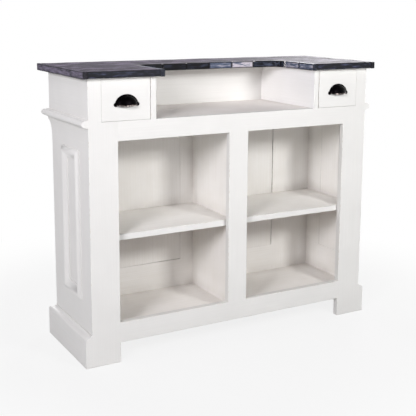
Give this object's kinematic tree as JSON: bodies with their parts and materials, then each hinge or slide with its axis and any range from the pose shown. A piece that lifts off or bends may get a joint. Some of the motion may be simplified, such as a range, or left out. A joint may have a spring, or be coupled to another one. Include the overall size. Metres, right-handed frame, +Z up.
{
  "type": "bar counter",
  "caption": "Free-standing bar counter: notched dark wood top over a serving recess, small drawers with cup pulls, open shelf bays, white panelled case with plinth.",
  "frame": {"origin": "on the floor, under the middle of the top", "axes": "+X along the counter to the right as seen from the open shelf side, +Y from the open side towards the customer's side, +Z up"},
  "size_m": [1.3, 0.5, 1.1],
  "materials": {
    "painted_wood": "satin white paint over wood",
    "stained_top": "blue-black stain under satin lacquer",
    "pull_iron": "blackened cast iron, worn at the rim",
    "bare_wood": "planed bare pine"
  },
  "bodies": {
    "counter_case": {"countertop_rear": "stained_top", "countertop_left_arm": "stained_top", "countertop_right_arm": "stained_top", "notch_edging": "stained_top", "left_stile": "painted_wood", "right_stile": "painted_wood", "centre_stile": "painted_wood", "top_rail": "painted_wood", "bottom_rail": "painted_wood", "left_end_upper_board": "painted_wood", "left_end_bottom_rail": "painted_wood", "left_end_front_stile": "painted_wood", "left_end_rear_stile": "painted_wood", "left_end_panel": "painted_wood", "left_end_panel_moulding": "painted_wood", "right_end_upper_board": "painted_wood", "right_end_bottom_rail": "painted_wood", "right_end_front_stile": "painted_wood", "right_end_rear_stile": "painted_wood", "right_end_panel": "painted_wood", "right_end_panel_moulding": "painted_wood", "rear_cornice_rail": "painted_wood", "rear_upper_board": "painted_wood", "rear_bottom_rail": "painted_wood", "rear_centre_stile": "painted_wood", "rear_left_stile": "painted_wood", "rear_left_panel": "painted_wood", "rear_left_panel_moulding": "painted_wood", "rear_right_stile": "painted_wood", "rear_right_panel": "painted_wood", "rear_right_panel_moulding": "painted_wood", "floor_board": "painted_wood", "deck_board": "painted_wood", "partition": "painted_wood", "left_shelf": "painted_wood", "left_shelf_cleat": "painted_wood", "left_drawer_divider": "painted_wood", "left_drawer_guide": "bare_wood", "right_shelf": "painted_wood", "right_shelf_cleat": "painted_wood", "right_drawer_divider": "painted_wood", "right_drawer_guide": "bare_wood", "left_astragal": "painted_wood", "right_astragal": "painted_wood", "rear_astragal": "painted_wood", "left_plinth": "painted_wood", "right_plinth": "painted_wood", "rear_plinth": "painted_wood"},
    "left_drawer": {"left_drawer_front": "painted_wood", "left_drawer_left_side": "bare_wood", "left_drawer_right_side": "bare_wood", "left_drawer_back": "bare_wood", "left_drawer_bottom": "bare_wood", "left_drawer_cup_pull": "pull_iron"},
    "right_drawer": {"right_drawer_front": "painted_wood", "right_drawer_left_side": "bare_wood", "right_drawer_right_side": "bare_wood", "right_drawer_back": "bare_wood", "right_drawer_bottom": "bare_wood", "right_drawer_cup_pull": "pull_iron"}
  },
  "joints": [
    {"name": "left_drawer_slide", "type": "slide", "parent": "counter_case", "child": "left_drawer", "axis": [0, -1, 0], "range_m": [0, 0.25]},
    {"name": "right_drawer_slide", "type": "slide", "parent": "counter_case", "child": "right_drawer", "axis": [0, -1, 0], "range_m": [0, 0.25]}
  ]
}
